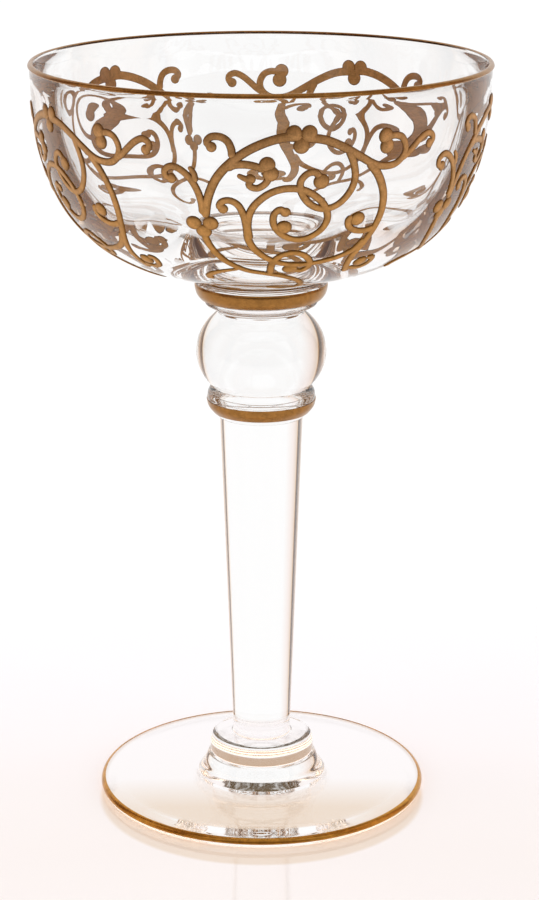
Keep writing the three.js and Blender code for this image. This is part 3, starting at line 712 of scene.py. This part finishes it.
class Relief:
    """Domed strokes and berries gathered into one mesh: flat places, lifts, shares of painted edge
    shade, and faces.
    """

    def __init__(self):
        self.flat, self.lift, self.thin, self.faces = [], [], [], []

    def add_grid(self, flat, lift, thin):
        """Adds a grid of rings, each closed underneath, as one closed body."""
        first = len(self.lift)
        rings, across = lift.shape
        self.flat.extend(flat.reshape(-1, 2))
        self.lift.extend(lift.ravel())
        self.thin.extend(thin.ravel())
        for i in range(rings - 1):
            for j in range(across):
                k = (j + 1) % across
                row, after = first + i * across, first + (i + 1) * across
                self.faces.append((row + j, row + k, after + k, after + j))
        self.faces.append(tuple(first + j for j in reversed(range(across))))
        last = first + (rings - 1) * across
        self.faces.append(tuple(last + j for j in range(across)))

    def add_stroke(self, start_width, end_width, centre_line):
        """A domed stroke with round ends, its width true on the bowl whatever its direction."""
        line = np.array(smooth_curve([on_flat(p) for p in centre_line], 12))
        shrink = narrowing(line[:, 1])
        true = line * np.column_stack([shrink, np.ones(len(line))])
        lengths = np.concatenate([[0], np.cumsum(np.hypot(*np.diff(true, axis=0).T))])
        total = lengths[-1]
        caps = np.array(STROKE_END_SHARES)
        start_half, end_half = start_width / 2, end_width / 2
        inner = np.linspace(start_half, total - end_half, max(int(total / STROKE_STEP), 3))
        reach = np.concatenate([start_half * caps, inner, total - end_half * caps[::-1]])
        centre = np.column_stack([np.interp(reach, lengths, line[:, i]) for i in (0, 1)])
        half = start_half + (end_half - start_half) * reach / total
        near = np.clip(np.minimum(reach / start_half, (total - reach) / end_half), 0, 1)
        fullness = np.sqrt(np.maximum(1 - (1 - near) ** 2, 0.01))
        shrink = narrowing(centre[:, 1])
        along = np.gradient(centre, axis=0) * np.column_stack([shrink, np.ones(len(centre))])
        along /= np.linalg.norm(along, axis=1)[:, None]
        side = np.column_stack([along[:, 1] / shrink, -along[:, 0]]) * (half * fullness)[:, None]
        share = np.concatenate([np.linspace(1, -1, ACROSS + 1), [-UNDERSIDE_SHARE, UNDERSIDE_SHARE]])
        dome = (1 - share**DOME_POWER) ** 0.5
        flat = centre[:, None, :] + side[:, None, :] * share[None, :, None]
        lift = STROKE_HEIGHT * fullness[:, None] * dome[None, :] * (half / half.max())[:, None] ** 0.5
        lift[:, [0, ACROSS, -2, -1]] = -SUNK
        # Painted shade: the colour darkens towards the stroke's edges, where the dome turns away from
        # the light.
        edge_share = np.append(np.abs(share[:-2]) ** STROKE_EDGE_SHADE_POWER, [0, 0])
        thin = edge_share[None, :] * np.ones((len(reach), 1))
        self.add_grid(flat, lift, thin)

    def add_berry(self, place, radius, height, sides=20, rings=7):
        """A round drop of paste, as a dome."""
        centre = on_flat(place)
        shrink = narrowing(centre[1])
        turns = np.linspace(0, 2 * math.pi, sides, endpoint=False)
        circle = np.column_stack([np.cos(turns) / shrink, np.sin(turns)])
        tilts = np.linspace(0, math.pi / 2 * BERRY_CROWN, rings)
        reach = np.append(UNDERSIDE_SHARE, np.cos(tilts))
        flat = centre + radius * reach[:, None, None] * circle[None, :, :]
        lift = height * np.append(0, np.sin(tilts))[:, None] * np.ones((1, sides))
        lift[:2, :] = -SUNK
        # Painted shade: the colour darkens towards the berry's edge.
        edge_share = np.append(0, np.cos(tilts) ** BERRY_EDGE_SHADE_POWER)
        thin = edge_share[:, None] * np.ones((1, sides))
        self.add_grid(flat, lift, thin)


relief = Relief()
for start_width, end_width, centre_line, ending in strokes:
    relief.add_stroke(start_width, end_width, centre_line)
    if ending == "bud":
        relief.add_berry(centre_line[-1], BUD_RADIUS, STROKE_HEIGHT)
for place in berries:
    relief.add_berry(place, BERRY_RADIUS, BERRY_HEIGHT)

for repeat in range(SCROLL_REPEATS):
    turn = 2 * math.pi * repeat / SCROLL_REPEATS + SCROLL_TURN
    points = on_bowl(np.array(relief.flat), np.array(relief.lift), turn)
    scroll = mesh_piece(f"scroll_relief_{repeat + 1}", points, relief.faces, [gold_scroll])
    scroll.data.attributes.new("thin", "FLOAT", "POINT").data.foreach_set("value", relief.thin)
    settle(scroll, "gilding", f"scroll_{repeat + 1}")


# Table and tent
# A white lacquered board inside a white tent of cloth. The front of the tent is dimmer and warmer,
# and its cloths meet in dark seams, which the glass bends into the thin dark lines along its edges.
TABLE_REACH = 6.0
TABLE_DROP = 0.1 * MM

# The tent's cloth, by the degrees that it lies right of straight behind the glass
TENT_CLOTH = [
    (-90, "#f4ebe4"),
    (-83, "#ecddd0"),
    (-78, "#c09a80"),
    (-73, "#b08a6c"),
    (-68.5, "#91653f"),
    (-64.5, "#7f6451"),
    (-61.5, "#402a14"),
    (-59, "#3a200a"),
    (-56, "#46290d"),
    (-54, "#a8794a"),
    (-52, "#f6dcc2"),
    (-50, "#e9d6c6"),
    (-43, "#f8ebe5"),
    (-28, "#ffffff"),
    (50, "#ffffff"),
    (56.5, "#fdeee0"),
    (58, "#a47641"),
    (60, "#3c2008"),
    (63, "#5d3a1c"),
    (66.5, "#8e6a44"),
    (71, "#d6ac84"),
    (76, "#e1b998"),
    (90, "#f2e6dc"),
]

# The roof, by the sine of the height angle: its seam as gold and polished glass show it, and the
# darker strip behind the glass that is seen through it alone
ROOF_SEAM = [
    (0.0, "#ffffff"),
    (0.79, "#ffffff"),
    (0.815, "#5a4330"),
    (0.85, "#8f7a66"),
    (0.93, "#f4ede6"),
]
CEILING = [
    (0.0, "#ffffff"),
    (0.58, "#ffffff"),
    (0.62, "#6a5638"),
    (0.8, "#4a381e"),
    (0.85, "#ffffff"),
]
WEAVE_SCALE = 14.0
WEAVE_PALE_FROM, WEAVE_PALE_TO = 0.5, 0.68
WEAVE_PALE_MOST = 0.5
DIM_FRONT_CLOTH = "#8c7862"
DIM_FRONT_FROM, DIM_FRONT_TO = -0.9, -0.45
HIGH_FROM, HIGH_TO = 0.45, 0.55

# The board, by how far it lies behind the glass
BOARD_FRONT, BOARD_BACK = -100 * MM, 300 * MM
BOARD_TONES = [
    (0.0, "#fbf4f2"),
    (0.15, "#fcf5f3"),
    (0.22, "#fdf7f6"),
    (0.3, "#fff9fa"),
    (0.38, "#fffafc"),
    (0.56, "#fffcfd"),
    (0.8, "#ffffff"),
]
BOARD_GLOW = 0.06
GLOSS_SHARE = 0.13
DIM_END_SHARE = 0.2
DIM_END_FROM, DIM_END_TO = -500 * MM, -200 * MM
BACKDROP_FROM, BACKDROP_TO = -300 * MM, -100 * MM
# A painted reflection of the foot on the board: a warm disc set a little in front of it.
FOOT_REFLECTION_CENTRE = (0, -8 * MM, 0)
FOOT_REFLECTION_INSIDE, FOOT_REFLECTION_OUTSIDE = FOOT_RADIUS - 1 * MM, FOOT_RADIUS + 0.5 * MM
FOOT_REFLECTION_COLOUR = "#f4ebdf"

# The board right under and round the foot, as it is seen through the glass, with painted shade on it
NEAR_BOARD = 46 * MM
UNDER_FRONT, UNDER_BACK = -20 * MM, -4 * MM
UNDER_FOOT_SHADE_COLOUR = "#ead4be"
RIM_SHADE_FROM, RIM_SHADE_TO = 30 * MM, 50 * MM
RIM_SHADE = [
    (0.0, "#ffffff"),
    (0.35, "#ffffff"),
    (0.45, "#cab299"),
    (0.6, "#cab299"),
    (0.75, "#ffffff"),
]


def tent_colour(tree, place):
    """The tent's cloth in the compass direction of a place, the same in front of the glass as behind."""
    across = node(tree, "ShaderNodeSeparateXYZ", {"Vector": place})
    depth = node(tree, "ShaderNodeMath", {0: across.outputs["Y"]}, operation="ABSOLUTE").outputs[0]
    turn = node(tree, "ShaderNodeMath", {0: across.outputs["X"], 1: depth},
                operation="ARCTAN2").outputs[0]
    share = node(tree, "ShaderNodeMath", {0: turn, 1: 1 / math.pi, 2: 0.5},
                 operation="MULTIPLY_ADD").outputs[0]
    stops = [(0.5 + degrees / 180, colour) for degrees, colour in TENT_CLOTH]
    return node(tree, "ShaderNodeValToRGB", {"Fac": share}, stops).outputs["Color"]


def board_tone(tree, depth):
    """The board's own white, a little warmer near the front."""
    share = node(tree, "ShaderNodeMapRange", {
        "Value": depth,
        "From Min": BOARD_FRONT,
        "From Max": BOARD_BACK,
    }).outputs["Result"]
    return node(tree, "ShaderNodeValToRGB", {"Fac": share}, BOARD_TONES).outputs["Color"]


def painted_foot_reflection(tree, place):
    """A painted reflection of the foot: a warm patch on the board under and in front of it."""
    away = node(tree, "ShaderNodeVectorMath", {0: place, 1: FOOT_REFLECTION_CENTRE},
                operation="DISTANCE").outputs["Value"]
    beyond = node(tree, "ShaderNodeMapRange", {
        "Value": away,
        "From Min": FOOT_REFLECTION_INSIDE,
        "From Max": FOOT_REFLECTION_OUTSIDE,
    }, interpolation_type="SMOOTHSTEP").outputs["Result"]
    return node(tree, "ShaderNodeMix", {0: beyond, 6: linear(FOOT_REFLECTION_COLOUR), 7: WHITE},
                data_type="RGBA").outputs[2]


def lacquer(tree, place, depth, tone, rays):
    """Matt white under a clear smooth gloss, with the painted reflection of the foot on it, darkened by
    what the gloss adds, and dimmer at the front end where a glossy surface shows it."""
    lit = node(tree, "ShaderNodeMix", {0: 1.0, 6: tone, 7: painted_foot_reflection(tree, place)},
               data_type="RGBA", blend_type="MULTIPLY").outputs[2]
    under_gloss = node(tree, "ShaderNodeVectorMath", {
        0: lit,
        1: [1 / (1 - GLOSS_SHARE)] * 3,
        2: [-GLOSS_SHARE / (1 - GLOSS_SHARE)] * 3,
    }, operation="MULTIPLY_ADD").outputs[0]
    end_share = node(tree, "ShaderNodeMapRange", {
        "Value": depth,
        "From Min": DIM_END_FROM,
        "From Max": DIM_END_TO,
        "To Min": DIM_END_SHARE,
        "To Max": 1.0,
    }, interpolation_type="SMOOTHSTEP").outputs["Result"]
    dimmed = node(tree, "ShaderNodeVectorMath", {0: under_gloss, "Scale": end_share},
                  operation="SCALE").outputs[0]
    shown = node(tree, "ShaderNodeMix", {0: rays.outputs["Is Glossy Ray"], 6: under_gloss, 7: dimmed},
                 data_type="RGBA").outputs[2]
    return node(tree, "ShaderNodeBsdfPrincipled", {
        "Base Color": shown,
        "Roughness": 0.04,
        "IOR": 1.45,
        "Emission Color": shown,
        "Emission Strength": BOARD_GLOW,
    }).outputs["BSDF"]


def board_through_glass(tree, place, depth, tone):
    """Near the foot the glass shows the board with painted shade, under the foot's gold and from the
    steps, and farther out it shows a painted reflection of the tent's cloth."""
    # Painted shade: the board's front half under the foot is beige.
    front_share = node(tree, "ShaderNodeMapRange", {
        "Value": depth,
        "From Min": UNDER_FRONT,
        "From Max": UNDER_BACK,
        "To Min": 1.0,
        "To Max": 0.0,
    }).outputs["Result"]
    shaded_under_foot = node(tree, "ShaderNodeMix", {0: front_share, 6: tone, 7: linear(UNDER_FOOT_SHADE_COLOUR)},
                      data_type="RGBA").outputs[2]
    distance = node(tree, "ShaderNodeVectorMath", {0: place}, operation="LENGTH").outputs["Value"]
    reach = node(tree, "ShaderNodeMapRange", {
        "Value": distance,
        "From Min": RIM_SHADE_FROM,
        "From Max": RIM_SHADE_TO,
    }).outputs["Result"]
    # Painted shade: a beige ring on the board under the foot's gold edge.
    rim_shade = node(tree, "ShaderNodeValToRGB", {"Fac": reach}, RIM_SHADE).outputs["Color"]
    near = node(tree, "ShaderNodeMix", {0: 1.0, 6: shaded_under_foot, 7: rim_shade},
                data_type="RGBA", blend_type="MULTIPLY").outputs[2]
    # Painted reflection: farther out the board takes the tent's colour.
    is_far = node(tree, "ShaderNodeMath", {0: distance, 1: NEAR_BOARD},
                  operation="GREATER_THAN").outputs[0]
    bent = node(tree, "ShaderNodeMix", {0: is_far, 6: near, 7: tent_colour(tree, place)},
                data_type="RGBA").outputs[2]
    return node(tree, "ShaderNodeEmission", {"Color": bent, "Strength": 1.0}).outputs["Emission"]


def front_backdrop(tree, depth, tone, rays):
    """The board's front end as a plain pale backdrop for the eye alone, and where it begins."""
    front_share = node(tree, "ShaderNodeMapRange", {
        "Value": depth,
        "From Min": BACKDROP_FROM,
        "From Max": BACKDROP_TO,
        "To Min": 1.0,
        "To Max": 0.0,
    }, interpolation_type="SMOOTHSTEP").outputs["Result"]
    share = node(tree, "ShaderNodeMath", {0: front_share, 1: rays.outputs["Is Camera Ray"]},
                 operation="MULTIPLY").outputs[0]
    return share, node(tree, "ShaderNodeEmission", {"Color": tone, "Strength": 1.0}).outputs["Emission"]


def table_material():
    """White lacquered board, smooth enough to mirror the glass faintly."""
    material, tree, output = new_material("white_lacquer")
    place = node(tree, "ShaderNodeTexCoord").outputs["Object"]
    depth = node(tree, "ShaderNodeSeparateXYZ", {"Vector": place}).outputs["Y"]
    rays = node(tree, "ShaderNodeLightPath")
    tone = board_tone(tree, depth)
    board = node(tree, "ShaderNodeMixShader", {
        0: rays.outputs["Is Transmission Ray"],
        1: lacquer(tree, place, depth, tone, rays),
        2: board_through_glass(tree, place, depth, tone),
    }).outputs["Shader"]
    backdrop_share, backdrop = front_backdrop(tree, depth, tone, rays)
    surface = node(tree, "ShaderNodeMixShader", {0: backdrop_share, 1: board, 2: backdrop})
    tree.links.new(surface.outputs["Shader"], output.inputs["Surface"])
    return material


corners = [(-TABLE_REACH, -TABLE_REACH), (TABLE_REACH, -TABLE_REACH),
           (TABLE_REACH, TABLE_REACH), (-TABLE_REACH, TABLE_REACH)]
table = mesh_piece("table_top", [(x, y, -TABLE_DROP) for x, y in corners], [(0, 1, 2, 3)],
                   [table_material()])


def roof_tone(tree, direction, facing, rays):
    """The roof's seam, or through the glass the darker strip behind it with its pale patches."""
    roof = node(tree, "ShaderNodeValToRGB", {"Fac": facing.outputs["Z"]}, ROOF_SEAM).outputs["Color"]
    strip = node(tree, "ShaderNodeValToRGB", {"Fac": facing.outputs["Z"]}, CEILING).outputs["Color"]
    weave = node(tree, "ShaderNodeTexNoise", {
        "Vector": direction,
        "Scale": WEAVE_SCALE,
        "Detail": 6.0,
    }).outputs["Fac"]
    pale = node(tree, "ShaderNodeMapRange", {
        "Value": weave,
        "From Min": WEAVE_PALE_FROM,
        "From Max": WEAVE_PALE_TO,
        "To Max": WEAVE_PALE_MOST,
    }).outputs["Result"]
    is_front = node(tree, "ShaderNodeMath", {0: facing.outputs["Y"], 1: 0.0},
                    operation="LESS_THAN").outputs[0]
    is_white = node(tree, "ShaderNodeMath", {0: pale, 1: is_front}, operation="MAXIMUM").outputs[0]
    ceiling = node(tree, "ShaderNodeMix", {0: is_white, 6: strip, 7: WHITE},
                   data_type="RGBA").outputs[2]
    return node(tree, "ShaderNodeMix", {0: rays.outputs["Is Transmission Ray"], 6: roof, 7: ceiling},
                data_type="RGBA").outputs[2]


def front_tint(tree, facing, rays):
    """The dimmer, warmer front of the tent, which ends low down where it is seen through the glass."""
    back_share = node(tree, "ShaderNodeMapRange", {
        "Value": facing.outputs["Y"],
        "From Min": DIM_FRONT_FROM,
        "From Max": DIM_FRONT_TO,
    }, interpolation_type="SMOOTHSTEP").outputs["Result"]
    high_share = node(tree, "ShaderNodeMapRange", {
        "Value": facing.outputs["Z"],
        "From Min": HIGH_FROM,
        "From Max": HIGH_TO,
    }).outputs["Result"]
    through_high = node(tree, "ShaderNodeMath", {0: high_share, 1: rays.outputs["Is Transmission Ray"]},
                        operation="MULTIPLY").outputs[0]
    white_share = node(tree, "ShaderNodeMath", {0: back_share, 1: through_high},
                       operation="MAXIMUM").outputs[0]
    return node(tree, "ShaderNodeMix", {0: white_share, 6: linear(DIM_FRONT_CLOTH), 7: WHITE},
                data_type="RGBA").outputs[2]


tent = bpy.data.worlds.new("tent")
bpy.context.scene.world = tent
tent.use_nodes = True
sky = tent.node_tree
sky.nodes.clear()
direction = node(sky, "ShaderNodeTexCoord").outputs["Generated"]
facing = node(sky, "ShaderNodeSeparateXYZ", {"Vector": direction})
rays = node(sky, "ShaderNodeLightPath")
cloth = node(sky, "ShaderNodeMix", {
    0: 1.0,
    6: tent_colour(sky, direction),
    7: roof_tone(sky, direction, facing, rays),
}, data_type="RGBA", blend_type="MULTIPLY").outputs[2]
dimmed = node(sky, "ShaderNodeMix", {0: 1.0, 6: cloth, 7: front_tint(sky, facing, rays)},
              data_type="RGBA", blend_type="MULTIPLY").outputs[2]
is_plain = node(sky, "ShaderNodeMath", {
    0: rays.outputs["Is Camera Ray"],
    1: rays.outputs["Is Diffuse Ray"],
}, operation="MAXIMUM").outputs[0]
seen = node(sky, "ShaderNodeMix", {0: is_plain, 6: dimmed, 7: WHITE}, data_type="RGBA").outputs[2]
tent_light = node(sky, "ShaderNodeBackground", {"Color": seen, "Strength": 1.0})
node(sky, "ShaderNodeOutputWorld", {"Surface": tent_light.outputs["Background"]})


# Camera
# It stands a little over half a metre in front of the glass and looks slightly down on it, with a
# long lens, so that the picture, 539 wide and 900 high, is filled by the glass.
CAMERA_BACK = 555.06 * MM
CAMERA_HEIGHT = 250.61 * MM
CAMERA_SIDE = 1.9 * MM
CAMERA_PITCH = math.radians(16.726)
PICTURE_HEIGHT = 900
FOCAL_PIXELS = 2474.7
camera_data = bpy.data.cameras.new("camera")
camera_data.sensor_width = 36.0
camera_data.lens = FOCAL_PIXELS / PICTURE_HEIGHT * camera_data.sensor_width
camera = bpy.data.objects.new("camera", camera_data)
camera.location = (CAMERA_SIDE, -CAMERA_BACK, CAMERA_HEIGHT)
camera.rotation_euler = (math.pi / 2 - CAMERA_PITCH, 0, 0)
bpy.context.scene.collection.objects.link(camera)
bpy.context.scene.camera = camera

bpy.context.scene.view_settings.view_transform = "Standard"

# Light is turned back inside thick glass many times before it gets out.
LIGHT_BOUNCES = 40
light_paths = bpy.context.scene.cycles
light_paths.max_bounces = LIGHT_BOUNCES
light_paths.glossy_bounces = LIGHT_BOUNCES
light_paths.transmission_bounces = LIGHT_BOUNCES
light_paths.transparent_max_bounces = LIGHT_BOUNCES
light_paths.blur_glossy = 0.0
